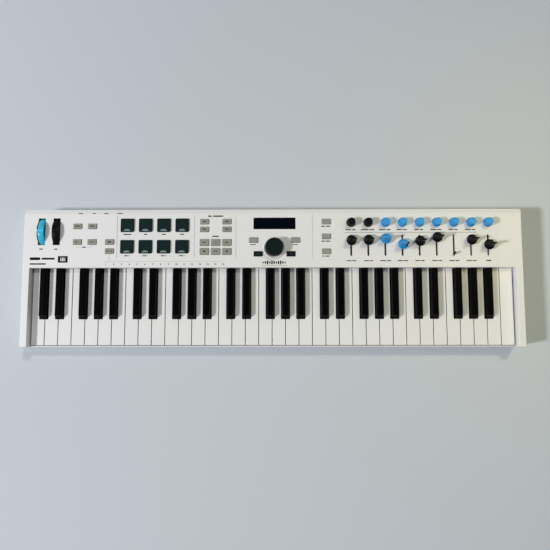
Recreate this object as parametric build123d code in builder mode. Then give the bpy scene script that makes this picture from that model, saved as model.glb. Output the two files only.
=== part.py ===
"""A 61-key MIDI keyboard controller, modelled piece by piece in millimetres.

+X runs to the player's right, +Y away from the player, +Z up.
The origin is the centre of the footprint, on the plane that the feet stand on.
"""

from build123d import *
import os

# ---------------------------------------------------------------- driving dimensions
CASE_WIDTH = 870.0
CASE_DEPTH = 240.0
CASE_TOP = 50.0          # the panel's upper face
CASE_FLOOR = 3.0         # the underside of the bottom case, above the feet
SPLIT = 20.0             # height of the seam between the two case halves
WALL = 2.5
PANEL = 3.0              # thickness of the control panel
CORNER = 3.0
PANEL_FRONT = 16.8       # Y of the panel's front edge, where the keys begin

KEY_PITCH = 23.4         # white keys, centre to centre
KEY_GAP = 1.1
WHITE_COUNT = 36
WHITE_FRONT = -117.2
WHITE_TOP = 35.5
KEY_BOTTOM = 22.0
BLACK_FRONT = -71.0
BLACK_REAR = 16.0
BLACK_TOP = 46.5
BLACK_WIDTH = 13.6
BLACK_CLEARANCE = 1.0    # air between a black key and the white keys beside it
HINGE_Y = 47.0
HINGE_Z = 26.0
HINGE_ROD = 1.6          # radius
ROD_SEAT = 1.65
HINGE_BORE = 2.05
TAIL_END = 52.5
TAIL_STEP = 40.0         # behind here each key is narrower, to clear the hinge ribs
TAIL_INSET = 0.8
KEY_WALL = 1.7

BOARD_TOP = 40.0
BOARD_THICKNESS = 1.6

CONTROL_PITCH = 29.75    # knobs and faders, centre to centre
CONTROL_X = 137.8        # the first of the nine
KNOB_Y = 95.7
SLOT_Y = 55.7
FADER_TRAVEL = 30.0
# Where each fader stands at rest, as its lever's Y. The seventh has lost its cap.
FADER_REST = (63.7, 64.1, 66.5, 56.8, 62.3, 68.8, 41.2, 64.4, 55.9)
BARE_FADER = 7

PAD_X = (-253.3, -221.3, -189.3, -157.3)
PAD_Y = (91.7, 53.8)
PAD_SIZE = 23.2

SMALL_BUTTON = (15.0, 9.0)
TALL_BUTTON = (15.4, 11.4)
ARROW_BUTTON = (14.8, 8.6)
BUTTON_GAP = 0.5
LEFT_BUTTONS = ((-340.6, 90.1), (-314.8, 90.1), (-340.6, 62.3), (-314.8, 62.3),
                (-284.0, 62.3), (-284.0, 46.2))
COMMAND_BUTTONS = ((-118.1, 97.9), (-78.9, 97.9), (-118.1, 84.3), (-78.9, 84.3))
TRANSPORT_BUTTONS = tuple((x, y) for y in (61.0, 45.3) for x in (-118.1, -98.5, -78.9))
MENU_BUTTONS = ((-32.1, 65.1), (41.0, 65.1))
ARROW_BUTTONS = ((-24.2, 40.9), (33.0, 40.9))
PART_BUTTONS = ((94.8, 97.6), (94.8, 71.4), (94.8, 45.2))

DISPLAY_X, DISPLAY_Y = 4.3, 94.6
DISPLAY_SIZE = (73.2, 20.2)
DIAL_X, DIAL_Y = 4.1, 51.8
DIAL_RADIUS = 15.6

# Grooves that divide the panel into sections.
GROOVE_X = (-271.0, -135.5, -63.0, 70.9)
GROOVE_Y = 71.7
GROOVE_SIZE = (1.4, 74.2)
GROOVE_DEPTH = 1.0

WHEEL_X = (-403.6, -377.5)
WHEEL_Y = 80.7
WHEEL_Z = 35.0
WHEEL_RADIUS = 25.0
WHEEL_WIDTH = 11.4
WHEEL_SLOT = (12.6, 47.6)
SHAFT = 3.0              # radius of every control shaft
SHAFT_BORE = 3.05

SOCKET_Z = 29.5
LOCK_X, USB_X, PEDAL_X, MIDI_X = -336.2, -312.6, -291.2, -267.0

# Case screws: two in each side arm, four along the back. The rest hold the key chassis.
ARM_X = 428.85
CASE_SCREWS = ((-ARM_X, -100), (ARM_X, -100), (-ARM_X, -20), (ARM_X, -20),
               (-424, 111), (424, 111), (-185, 112), (185, 112))
CHASSIS_SCREWS = tuple((x, y) for y in (-35, 32) for x in (-400, -200, 0, 200, 400))
BOARD_SCREWS = ((-345, 30), (-345, 103.5), (-205.3, 72.7), (-50, 30), (-50, 103.5),
                (70.7, 30), (70.7, 103.5), (395, 30), (395, 103.5))
DEEP_WELL = 14.0         # how far up a case screw's well reaches
SHALLOW_WELL = 5.0
WELL_RADIUS = 3.2

OCTAVE = 7 * KEY_PITCH
KEYS_LEFT = -WHITE_COUNT * KEY_PITCH / 2
WHITE_NOTES = "cdefgab"
# Each black key: the white key it follows in the octave, and its offset from that key's right edge.
BLACK_PLACES = {
    "c_sharp": (0, -2.2),
    "d_sharp": (1, 2.2),
    "f_sharp": (3, -3.3),
    "g_sharp": (4, 0.0),
    "a_sharp": (5, 3.3),
}
OCTAVES = 5

os.makedirs("parts", exist_ok=True)


def save(part, name):
    """Labels a finished piece and writes it to its own STEP file."""
    part.label = name
    export_step(part, f"parts/{name}.step")


def control_x(number):
    """X of knob or fader 1 to 9."""
    return CONTROL_X + CONTROL_PITCH * (number - 1)


def black_x(note, octave):
    """X of the centre of a black key."""
    white, offset = BLACK_PLACES[note]
    return KEYS_LEFT + octave * OCTAVE + (white + 1) * KEY_PITCH + offset


# ---------------------------------------------------------------- top case
RIM_INNER = 422.7        # inner face of the side arms
LIP_BOTTOM = 37.5        # the panel's front wall ends here, above the white keys
SLOPE_DEPTH = 8.0        # the strip along the back edge that falls away
SLOPE_DROP = 3.0
FADER_SLOT = 3.4         # width of the slots the fader levers slide in
WINDOW_THICKNESS = 1.6


def case_plan():
    """The U-shaped plan of the top case, as seen from above."""
    RectangleRounded(CASE_WIDTH, CASE_DEPTH, CORNER)
    opening = PANEL_FRONT + CASE_DEPTH / 2 + WALL
    with Locations((0, PANEL_FRONT)):
        Rectangle(2 * RIM_INNER, opening, align=(Align.CENTER, Align.MAX), mode=Mode.SUBTRACT)


with BuildPart() as top_case:
    with BuildSketch(Plane.XY.offset(SPLIT)):
        case_plan()
    extrude(amount=CASE_TOP - SPLIT)
    top_edges = top_case.faces().sort_by(Axis.Z)[-1].edges()
    fillet(top_edges, radius=1.2)
    # The back strip slopes down.
    with BuildSketch(Plane.YZ.offset(-CASE_WIDTH / 2)):
        with BuildLine():
            Polyline((CASE_DEPTH / 2 - SLOPE_DEPTH, CASE_TOP),
                     (CASE_DEPTH / 2 + 1, CASE_TOP - SLOPE_DROP * 9 / 8),
                     (CASE_DEPTH / 2 + 1, CASE_TOP + 1),
                     (CASE_DEPTH / 2 - SLOPE_DEPTH, CASE_TOP + 1), close=True)
        make_face()
    extrude(amount=CASE_WIDTH, mode=Mode.SUBTRACT)
    # Hollow inside, open below.
    with BuildSketch(Plane.XY.offset(SPLIT)):
        case_plan()
        offset(amount=-WALL, kind=Kind.INTERSECTION, mode=Mode.REPLACE)
    extrude(amount=CASE_TOP - PANEL - SPLIT, mode=Mode.SUBTRACT)
    # The keys pass under the panel's front wall.
    with Locations((0, PANEL_FRONT + WALL / 2, SPLIT)):
        Box(2 * RIM_INNER, WALL + 1, LIP_BOTTOM - SPLIT, align=(Align.CENTER, Align.CENTER, Align.MIN),
            mode=Mode.SUBTRACT)
    # The collar round the dial.
    with BuildSketch(Plane.XZ.offset(-DIAL_Y)) as collar:
        with BuildLine():
            Polyline((DIAL_X + 16.8, CASE_TOP - 0.5), (DIAL_X + 17.0, CASE_TOP + 1.6),
                     (DIAL_X + 18.4, CASE_TOP + 2.2), (DIAL_X + 20.3, CASE_TOP),
                     (DIAL_X + 20.3, CASE_TOP - 0.5), close=True)
        make_face()
    revolve(axis=Axis((DIAL_X, DIAL_Y, 0), (0, 0, 1)))
    # Openings in the panel.
    with BuildSketch(Plane.XY.offset(CASE_TOP - PANEL - 1)):
        for group, size in ((LEFT_BUTTONS, SMALL_BUTTON), (COMMAND_BUTTONS, SMALL_BUTTON),
                            (TRANSPORT_BUTTONS, TALL_BUTTON), (MENU_BUTTONS, SMALL_BUTTON),
                            (ARROW_BUTTONS, ARROW_BUTTON), (PART_BUTTONS, SMALL_BUTTON)):
            with Locations(*group):
                RectangleRounded(size[0] + 2 * BUTTON_GAP, size[1] + 2 * BUTTON_GAP, 1.3)
        with Locations(*[(x, y) for x in PAD_X for y in PAD_Y]):
            RectangleRounded(PAD_SIZE + 0.8, PAD_SIZE + 0.8, 2.2)
        with Locations(*[(x, WHEEL_Y) for x in WHEEL_X]):
            RectangleRounded(WHEEL_SLOT[0], WHEEL_SLOT[1], 0.8)
        with Locations(*[(control_x(n), KNOB_Y) for n in range(1, 10)]):
            Circle(4.2)
        with Locations(*[(control_x(n), SLOT_Y) for n in range(1, 10)]):
            SlotOverall(FADER_TRAVEL + 7.4, FADER_SLOT, rotation=90)
        with Locations((DIAL_X, DIAL_Y)):
            Circle(6.0)
        with Locations((DISPLAY_X, DISPLAY_Y)):
            Rectangle(DISPLAY_SIZE[0] - 4, DISPLAY_SIZE[1] - 3)
    extrude(amount=PANEL + 6, mode=Mode.SUBTRACT)
    # The ledge that the display window sits on, and the grooves between the sections.
    with BuildSketch(Plane.XY.offset(CASE_TOP - WINDOW_THICKNESS)):
        with Locations((DISPLAY_X, DISPLAY_Y)):
            Rectangle(DISPLAY_SIZE[0] + 0.4, DISPLAY_SIZE[1] + 0.4)
    extrude(amount=WINDOW_THICKNESS + 1, mode=Mode.SUBTRACT)
    with BuildSketch(Plane.XY.offset(CASE_TOP - GROOVE_DEPTH)):
        with Locations(*[(x, GROOVE_Y) for x in GROOVE_X]):
            Rectangle(*GROOVE_SIZE)
    extrude(amount=GROOVE_DEPTH + 1, mode=Mode.SUBTRACT)
    # Posts that carry the main board, and bosses for the case screws.
    with BuildSketch(Plane.XY.offset(BOARD_TOP)):
        with Locations(*BOARD_SCREWS):
            Circle(3.0)
    extrude(amount=CASE_TOP - PANEL - BOARD_TOP + 0.5)
    with BuildSketch(Plane.XY.offset(SPLIT)):
        with Locations(*CASE_SCREWS):
            Circle(3.6)
    extrude(amount=CASE_TOP - PANEL - SPLIT + 0.5)
    with Locations(*[(x, y, BOARD_TOP + 3) for x, y in BOARD_SCREWS]):
        Cylinder(1.25, 6, mode=Mode.SUBTRACT)
    with Locations(*[(x, y, SPLIT + 5) for x, y in CASE_SCREWS]):
        Cylinder(1.6, 12, mode=Mode.SUBTRACT)
    # Openings in the back wall: lock slot, USB, pedal jack, MIDI.
    with BuildSketch(Plane.XZ.offset(-CASE_DEPTH / 2 - 1)):
        with Locations((LOCK_X, SOCKET_Z)):
            SlotOverall(7.4, 3.2)
        with Locations((USB_X, SOCKET_Z)):
            Rectangle(12.8, 11.8)
        with Locations((PEDAL_X, SOCKET_Z)):
            Circle(6.0)
        with Locations((MIDI_X, SOCKET_Z)):
            Circle(8.2)
    extrude(amount=WALL + 3, mode=Mode.SUBTRACT)
save(top_case.part, "top_case")

# ---------------------------------------------------------------- bottom case
FRONT_WALL_TOP = 33.0
FRONT_WALL = 1.8

with BuildPart() as bottom_case:
    with BuildSketch(Plane.XY.offset(CASE_FLOOR)):
        RectangleRounded(CASE_WIDTH, CASE_DEPTH, CORNER)
    extrude(amount=SPLIT - CASE_FLOOR)
    bottom_edges = bottom_case.faces().sort_by(Axis.Z)[0].edges()
    chamfer(bottom_edges, length=1.5)
    with BuildSketch(Plane.XY.offset(CASE_FLOOR + WALL)):
        with Locations((0, (WALL - FRONT_WALL) / -2)):
            Rectangle(CASE_WIDTH - 2 * WALL, CASE_DEPTH - WALL - FRONT_WALL)
    extrude(amount=SPLIT, mode=Mode.SUBTRACT)
    # The front wall rises between the arms of the top case.
    with Locations((0, -CASE_DEPTH / 2, SPLIT)):
        Box(2 * RIM_INNER - 1.4, FRONT_WALL, FRONT_WALL_TOP - SPLIT,
            align=(Align.CENTER, Align.MIN, Align.MIN))
    # A lip along the back wall locates the top case.
    with Locations((100, CASE_DEPTH / 2 - WALL - 1.5, SPLIT - 4)):
        Box(500, 1.0, 5.5, align=(Align.CENTER, Align.MIN, Align.MIN))
        Box(500, 2.0, 4.0, align=(Align.CENTER, Align.MIN, Align.MIN))
    # Stiffening ribs across the floor.
    with Locations(*[(x, -20, CASE_FLOOR + WALL) for x in (-300, -100, 100, 300)]):
        Box(1.6, 170, 2.5, align=(Align.CENTER, Align.CENTER, Align.MIN))
    # Screw bosses: tall ones to the top case, short ones under the key chassis.
    with BuildSketch(Plane.XY.offset(CASE_FLOOR + WALL)):
        with Locations(*CASE_SCREWS):
            Circle(5.0)
        Rectangle(CASE_WIDTH - 2.0, CASE_DEPTH - 2.0, mode=Mode.INTERSECT)
    extrude(amount=SPLIT - CASE_FLOOR - WALL)
    with BuildSketch(Plane.XY.offset(CASE_FLOOR + WALL)):
        with Locations(*CHASSIS_SCREWS):
            Circle(5.0)
    extrude(amount=3.0)
    with Locations(*[(x, y, CASE_FLOOR) for x, y in CASE_SCREWS + CHASSIS_SCREWS]):
        Cylinder(1.7, SPLIT, align=(Align.CENTER, Align.CENTER, Align.MIN), mode=Mode.SUBTRACT)
    with Locations(*[(x, y, CASE_FLOOR) for x, y in CASE_SCREWS]):
        Cylinder(WELL_RADIUS, DEEP_WELL - CASE_FLOOR, align=(Align.CENTER, Align.CENTER, Align.MIN),
                 mode=Mode.SUBTRACT)
    with Locations(*[(x, y, CASE_FLOOR) for x, y in CHASSIS_SCREWS]):
        Cylinder(WELL_RADIUS, SHALLOW_WELL - CASE_FLOOR, align=(Align.CENTER, Align.CENTER, Align.MIN),
                 mode=Mode.SUBTRACT)
save(bottom_case.part, "bottom_case")

FEET = tuple((x, y) for x in (-400, 0, 400) for y in (-96, 96))
with BuildPart() as rubber_feet:
    with BuildSketch():
        with Locations(*FEET):
            Circle(8.0)
    extrude(amount=CASE_FLOOR)
    fillet(rubber_feet.edges().group_by(Axis.Z)[0], radius=0.8)
save(rubber_feet.part, "rubber_feet")


# ---------------------------------------------------------------- screws
def screw(radius, length, head_radius, head_height, drive):
    """One screw standing on its head at the origin, with a cross recess under the head."""
    with BuildPart() as piece:
        with BuildSketch(Plane.XZ):
            with BuildLine():
                Polyline((0, 0), (head_radius - 0.6, 0), (head_radius, 0.6), (head_radius, head_height),
                         (radius, head_height), (radius, head_height + length - 1),
                         (radius - 1, head_height + length), (0, head_height + length), close=True)
            make_face()
        revolve(axis=Axis.Z)
        with BuildSketch():
            Rectangle(2 * drive, drive / 2.4)
            Rectangle(drive / 2.4, 2 * drive)
        extrude(amount=head_height * 0.6, mode=Mode.SUBTRACT)
    return piece.part


CASE_SCREW_HEAD = 1.8
BOARD_SCREW_HEAD = 1.4
case_screw = screw(1.5, 10.5, 2.8, CASE_SCREW_HEAD, 1.5)
board_screw = screw(1.15, 5.5, 2.2, BOARD_SCREW_HEAD, 1.2)
with BuildPart() as screws:
    with Locations(*[(x, y, DEEP_WELL - CASE_SCREW_HEAD) for x, y in CASE_SCREWS]):
        add(case_screw)
    with Locations(*[(x, y, SHALLOW_WELL - CASE_SCREW_HEAD) for x, y in CHASSIS_SCREWS]):
        add(case_screw)
    with Locations(*[(x, y, BOARD_TOP - BOARD_THICKNESS - BOARD_SCREW_HEAD) for x, y in BOARD_SCREWS]):
        add(board_screw)
save(screws.part, "screws")

# ---------------------------------------------------------------- key chassis, rod and contacts
CHASSIS_WIDTH = 2 * 421.7
CHASSIS_FRONT = -113.0
CHASSIS_REAR = 55.0
CHASSIS_BOTTOM = 8.5
CHASSIS_TOP = 11.0
RIB = 1.3
CONTACT_Y = 1.0          # the line of contacts under the keys
# Hinge ribs stand in the gaps between B and C and between E and F, and at both ends.
RIB_X = tuple(KEYS_LEFT + KEY_PITCH * n for n in range(1, WHITE_COUNT) if n % 7 in (0, 3))
END_RIB_X = 421.05

with BuildPart() as key_chassis:
    with Locations((0, (CHASSIS_FRONT + CHASSIS_REAR) / 2, CHASSIS_BOTTOM)):
        Box(CHASSIS_WIDTH, CHASSIS_REAR - CHASSIS_FRONT, CHASSIS_TOP - CHASSIS_BOTTOM,
            align=(Align.CENTER, Align.CENTER, Align.MIN))
    with Locations((0, CHASSIS_REAR, CHASSIS_TOP)):
        Box(CHASSIS_WIDTH, 1.8, 20, align=(Align.CENTER, Align.MAX, Align.MIN))
    with Locations(*[(x, HINGE_Y, CHASSIS_TOP) for x in RIB_X + (-END_RIB_X, END_RIB_X)]):
        Box(RIB, 13, 19, align=(Align.CENTER, Align.CENTER, Align.MIN))
    # A guide post stands inside each white key's front and each black key's front.
    with BuildSketch(Plane.XY.offset(CHASSIS_TOP)):
        with Locations(*[(KEYS_LEFT + KEY_PITCH * (n + 0.5), -100) for n in range(WHITE_COUNT)]):
            Rectangle(5, 4)
    extrude(amount=12)
    with BuildSketch(Plane.XY.offset(CHASSIS_TOP)):
        with Locations(*[(black_x(note, octave), -55)
                         for note in BLACK_PLACES for octave in range(OCTAVES)]):
            Rectangle(4, 4)
    extrude(amount=16)
    with Locations(*[(x, y, CHASSIS_TOP) for x, y in CHASSIS_SCREWS]):
        Cylinder(3.6, 5, align=(Align.CENTER, Align.CENTER, Align.MIN))
    with Locations(*[(x, y, CHASSIS_BOTTOM) for x, y in CHASSIS_SCREWS]):
        Cylinder(1.6, 8, align=(Align.CENTER, Align.CENTER, Align.MIN), mode=Mode.SUBTRACT)
    with Locations(Location((0, HINGE_Y, HINGE_Z), (0, 90, 0))):
        Cylinder(ROD_SEAT, CHASSIS_WIDTH + 2, mode=Mode.SUBTRACT)
save(key_chassis.part, "key_chassis")

with BuildPart() as key_hinge_rod:
    with Locations(Location((0, HINGE_Y, HINGE_Z), (0, 90, 0))):
        Cylinder(HINGE_ROD, CHASSIS_WIDTH)
    chamfer(key_hinge_rod.edges(), length=0.3)
save(key_hinge_rod.part, "key_hinge_rod")

with BuildPart() as key_contact_board:
    with Locations((0, CONTACT_Y, CHASSIS_TOP)):
        Box(832, 26, BOARD_THICKNESS, align=(Align.CENTER, Align.CENTER, Align.MIN))
save(key_contact_board.part, "key_contact_board")

STRIP_BOTTOM = CHASSIS_TOP + BOARD_THICKNESS
with BuildPart() as rubber_contact_strips:
    # One strip to an octave, and a short one for the top key; a pair of domes under each key.
    with BuildSketch(Plane.XY.offset(STRIP_BOTTOM)):
        with Locations(*[(KEYS_LEFT + OCTAVE * (n + 0.5), CONTACT_Y) for n in range(OCTAVES)]):
            RectangleRounded(OCTAVE - 3, 18, 2)
        with Locations((KEYS_LEFT + OCTAVE * OCTAVES + KEY_PITCH / 2 - 2, CONTACT_Y)):
            RectangleRounded(KEY_PITCH - 9, 18, 2)
    extrude(amount=1.4)
    dome_x = [KEYS_LEFT + OCTAVE * (n + 0.5) / 12 for n in range(12 * OCTAVES)]
    dome_x.append(KEYS_LEFT + OCTAVE * OCTAVES + 9)
    with Locations(*[(x, CONTACT_Y, STRIP_BOTTOM + 1.2) for x in dome_x]):
        Cylinder(4.2, 2.6, align=(Align.CENTER, Align.CENTER, Align.MIN))
save(rubber_contact_strips.part, "rubber_contact_strips")


# ---------------------------------------------------------------- keys
def white_outline(number):
    """Plan of white key 0 to 35 as (left, right, tail left, tail right)."""
    left = KEYS_LEFT + KEY_PITCH * number + KEY_GAP / 2
    right = left + KEY_PITCH - KEY_GAP
    tail_left, tail_right = left, right
    octave, degree = divmod(number, 7)
    notch = BLACK_WIDTH / 2 + BLACK_CLEARANCE
    for note, (white, _) in BLACK_PLACES.items():
        if white == degree and octave < OCTAVES:
            tail_right = black_x(note, octave) - notch
        if white + 1 == degree:
            tail_left = black_x(note, octave) + notch
    return left, right, tail_left, tail_right


def white_key(number):
    """One hollow white key with its hinge block and contact pusher."""
    left, right, tail_left, tail_right = white_outline(number)
    corner = BLACK_FRONT - BLACK_CLEARANCE
    with BuildPart() as key:
        with BuildSketch(Plane.XY.offset(KEY_BOTTOM)):
            with Locations(((left + right) / 2, WHITE_FRONT)):
                Rectangle(right - left, corner - WHITE_FRONT, align=(Align.CENTER, Align.MIN))
            with Locations(((tail_left + tail_right) / 2, WHITE_FRONT)):
                Rectangle(tail_right - tail_left, TAIL_STEP - WHITE_FRONT, align=(Align.CENTER, Align.MIN))
            with Locations(((tail_left + tail_right) / 2, WHITE_FRONT)):
                Rectangle(tail_right - tail_left - 2 * TAIL_INSET, TAIL_END - WHITE_FRONT,
                          align=(Align.CENTER, Align.MIN))
        extrude(amount=WHITE_TOP - KEY_BOTTOM)
        fillet(key.faces().sort_by(Axis.Z)[-1].edges(), radius=0.7)
        # Hollow underneath, up to the hinge block.
        with BuildSketch(Plane.XY.offset(KEY_BOTTOM)):
            with Locations(((left + right) / 2, WHITE_FRONT + KEY_WALL + 1)):
                Rectangle(right - left - 2 * KEY_WALL, corner - WHITE_FRONT - 2 * KEY_WALL - 1,
                          align=(Align.CENTER, Align.MIN))
            with Locations(((tail_left + tail_right) / 2, corner - 2 * KEY_WALL - 1)):
                Rectangle(tail_right - tail_left - 2 * KEY_WALL, TAIL_STEP - corner + KEY_WALL,
                          align=(Align.CENTER, Align.MIN))
        extrude(amount=WHITE_TOP - KEY_BOTTOM - 2.8, mode=Mode.SUBTRACT)
        # The front face steps back under the lip.
        with Locations(((left + right) / 2, WHITE_FRONT, KEY_BOTTOM)):
            Box(right - left, 2.4, 8.5, align=(Align.CENTER, Align.CENTER, Align.MIN), mode=Mode.SUBTRACT)
        with Locations(((tail_left + tail_right) / 2, CONTACT_Y, KEY_BOTTOM - 1.8)):
            Box(6, 4, 13, align=(Align.CENTER, Align.CENTER, Align.MIN))
        with Locations(Location(((tail_left + tail_right) / 2, HINGE_Y, HINGE_Z), (0, 90, 0))):
            Cylinder(HINGE_BORE, KEY_PITCH, mode=Mode.SUBTRACT)
    return key.part


def black_key(x):
    """One black key: a tapered upper body on a hollow arm."""
    with BuildPart() as key:
        with BuildSketch(Plane.XY.offset(WHITE_TOP - 1)):
            with Locations((x, BLACK_FRONT)):
                Rectangle(BLACK_WIDTH, BLACK_REAR - BLACK_FRONT, align=(Align.CENTER, Align.MIN))
        with BuildSketch(Plane.XY.offset(BLACK_TOP)):
            with Locations((x, BLACK_FRONT + 6)):
                Rectangle(BLACK_WIDTH - 3.2, BLACK_REAR - BLACK_FRONT - 6, align=(Align.CENTER, Align.MIN))
        loft()
        upper = key.faces().sort_by(Axis.Z)[-1].edges()
        fillet(upper.sort_by(Axis.Y)[:-1], radius=1.6)
        with Locations((x, BLACK_FRONT, KEY_BOTTOM)):
            Box(BLACK_WIDTH, BLACK_REAR - BLACK_FRONT, WHITE_TOP - 1 - KEY_BOTTOM,
                align=(Align.CENTER, Align.MIN, Align.MIN))
        with Locations((x, BLACK_REAR, KEY_BOTTOM)):
            Box(BLACK_WIDTH, TAIL_STEP - BLACK_REAR, 11.5, align=(Align.CENTER, Align.MIN, Align.MIN))
        with Locations((x, TAIL_STEP, KEY_BOTTOM)):
            Box(BLACK_WIDTH - 2 * TAIL_INSET, TAIL_END - TAIL_STEP, 11.5,
                align=(Align.CENTER, Align.MIN, Align.MIN))
        with Locations((x, BLACK_FRONT + 8, KEY_BOTTOM)):
            Box(BLACK_WIDTH - 2 * 2.4, BLACK_REAR - BLACK_FRONT - 12, 20,
                align=(Align.CENTER, Align.MIN, Align.MIN), mode=Mode.SUBTRACT)
        with Locations((x, CONTACT_Y, KEY_BOTTOM - 1.8)):
            Box(6, 4, 23, align=(Align.CENTER, Align.CENTER, Align.MIN))
        with Locations(Location((x, HINGE_Y, HINGE_Z), (0, 90, 0))):
            Cylinder(HINGE_BORE, KEY_PITCH, mode=Mode.SUBTRACT)
    return key.part


for degree, note in enumerate(WHITE_NOTES):
    with BuildPart() as note_keys:
        for number in range(degree, WHITE_COUNT, 7):
            add(white_key(number))
    save(note_keys.part, f"{note}_keys")

for note in BLACK_PLACES:
    with BuildPart() as note_keys:
        for octave in range(OCTAVES):
            add(black_key(black_x(note, octave)))
    save(note_keys.part, f"{note}_keys")

# ---------------------------------------------------------------- main board and what is soldered to it
BOARD_LEFT, BOARD_RIGHT = -352.0, 402.0
BOARD_FRONT, BOARD_REAR = 24.0, 107.0
SWITCH_HEIGHT = 1.4
ALL_BUTTONS = (LEFT_BUTTONS + COMMAND_BUTTONS + TRANSPORT_BUTTONS
               + MENU_BUTTONS + ARROW_BUTTONS + PART_BUTTONS)

with BuildPart() as main_board:
    with Locations(((BOARD_LEFT + BOARD_RIGHT) / 2, (BOARD_FRONT + BOARD_REAR) / 2, BOARD_TOP)):
        Box(BOARD_RIGHT - BOARD_LEFT, BOARD_REAR - BOARD_FRONT, BOARD_THICKNESS,
            align=(Align.CENTER, Align.CENTER, Align.MAX))
    with Locations(*[(x, y, BOARD_TOP) for x, y in BOARD_SCREWS]):
        Cylinder(1.4, 8, mode=Mode.SUBTRACT)
    # A low switch under each button.
    with BuildSketch(Plane.XY.offset(BOARD_TOP)):
        with Locations(*ALL_BUTTONS):
            Rectangle(6, 6)
    extrude(amount=SWITCH_HEIGHT)
save(main_board.part, "main_board")

with BuildPart() as slide_potentiometers:
    with BuildSketch(Plane.XY.offset(BOARD_TOP)):
        with Locations(*[(control_x(n), SLOT_Y) for n in range(1, 10)]):
            Rectangle(9, FADER_TRAVEL + 15)
    extrude(amount=6.4)
    with BuildSketch(Plane.XY.offset(BOARD_TOP + 1.4)):
        with Locations(*[(control_x(n), SLOT_Y) for n in range(1, 10)]):
            Rectangle(2.2, FADER_TRAVEL + 5.4)
    extrude(amount=6.4, mode=Mode.SUBTRACT)
save(slide_potentiometers.part, "slide_potentiometers")

KNOB_SHAFT_TOP = 60.5
with BuildPart() as encoder_bodies:
    with BuildSketch(Plane.XY.offset(BOARD_TOP)):
        with Locations(*[(control_x(n), KNOB_Y) for n in range(1, 10)]):
            Rectangle(12, 12)
        with Locations((DIAL_X, DIAL_Y)):
            Rectangle(13, 13)
    extrude(amount=6.4)
    with BuildSketch(Plane.XY.offset(BOARD_TOP + 6)):
        with Locations(*[(control_x(n), KNOB_Y) for n in range(1, 10)]):
            Circle(3.7)
        with Locations((DIAL_X, DIAL_Y)):
            Circle(4.6)
    extrude(amount=4.6)
    with Locations((DIAL_X, DIAL_Y, BOARD_TOP + 2),
                   *[(control_x(n), KNOB_Y, BOARD_TOP + 2) for n in range(1, 10)]):
        Cylinder(SHAFT_BORE, 12, align=(Align.CENTER, Align.CENTER, Align.MIN), mode=Mode.SUBTRACT)
save(encoder_bodies.part, "encoder_bodies")

with BuildPart() as display_module:
    with Locations((DISPLAY_X, DISPLAY_Y, BOARD_TOP)):
        Box(80, 26, 6.8, align=(Align.CENTER, Align.CENTER, Align.MIN))
    with Locations((DISPLAY_X, DISPLAY_Y, BOARD_TOP + 6.2)):
        Box(66, 14.5, 2, align=(Align.CENTER, Align.CENTER, Align.MIN), mode=Mode.SUBTRACT)
save(display_module.part, "display_module")

with BuildPart() as display_window:
    with Locations((DISPLAY_X, DISPLAY_Y, CASE_TOP - WINDOW_THICKNESS)):
        Box(*DISPLAY_SIZE, WINDOW_THICKNESS, align=(Align.CENTER, Align.CENTER, Align.MIN))
    fillet(display_window.faces().sort_by(Axis.Z)[-1].edges(), radius=0.25)
save(display_window.part, "display_window")

# ---------------------------------------------------------------- sockets in the back wall
SOCKET_FACE = CASE_DEPTH / 2 - 0.4
SOCKET_TOP = BOARD_TOP - BOARD_THICKNESS

with BuildPart() as usb_socket:
    with Locations((USB_X, SOCKET_FACE, SOCKET_Z)):
        Box(12.0, 17.0, 11.0, align=(Align.CENTER, Align.MAX, Align.CENTER))
    fillet(usb_socket.edges().filter_by(Axis.Y).group_by(Axis.Z)[-1], radius=1.6)
    with Locations((USB_X, SOCKET_FACE, SOCKET_Z)):
        Box(8.6, 9.0, 7.8, align=(Align.CENTER, Align.MAX, Align.CENTER), mode=Mode.SUBTRACT)
    with Locations((USB_X, SOCKET_FACE - 1.5, SOCKET_Z)):
        Box(5.6, 8.5, 3.2, align=(Align.CENTER, Align.MAX, Align.CENTER))
save(usb_socket.part, "usb_socket")

PEDAL_BORE = 3.2
PEDAL_BORE_LENGTH = 24.0
with BuildPart() as pedal_jack:
    with Locations((PEDAL_X, CASE_DEPTH / 2 - WALL - 0.2, SOCKET_Z)):
        Box(15.0, 24.0, 14.0, align=(Align.CENTER, Align.MAX, Align.CENTER))
    with BuildSketch(Plane.XZ.offset(-(CASE_DEPTH / 2 - WALL - 1))):
        with Locations((PEDAL_X, SOCKET_Z)):
            Circle(5.7)
    extrude(amount=-(WALL + 0.6))
    with BuildSketch(Plane.XZ.offset(-(CASE_DEPTH / 2 + 1))):
        with Locations((PEDAL_X, SOCKET_Z)):
            Circle(PEDAL_BORE)
    extrude(amount=PEDAL_BORE_LENGTH + 1.4, mode=Mode.SUBTRACT)
save(pedal_jack.part, "pedal_jack")

with BuildPart() as midi_socket:
    with Locations((MIDI_X, CASE_DEPTH / 2 - WALL - 0.2, SOCKET_Z)):
        Box(20.0, 15.0, 17.5, align=(Align.CENTER, Align.MAX, Align.CENTER))
    with BuildSketch(Plane.XZ.offset(-(CASE_DEPTH / 2 - WALL - 1))):
        with Locations((MIDI_X, SOCKET_Z)):
            Circle(7.9)
    extrude(amount=-(WALL + 0.6))
    # The round well that the plug's shell enters, and the five pin holes on their arc.
    with BuildSketch(Plane.XZ.offset(-(CASE_DEPTH / 2 + 1))):
        with Locations((MIDI_X, SOCKET_Z)):
            Circle(7.2)
            Circle(5.9, mode=Mode.SUBTRACT)
            with PolarLocations(4.4, 5, start_angle=180, angular_range=225):
                Circle(0.8)
    extrude(amount=9, mode=Mode.SUBTRACT)
save(midi_socket.part, "midi_socket")

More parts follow.
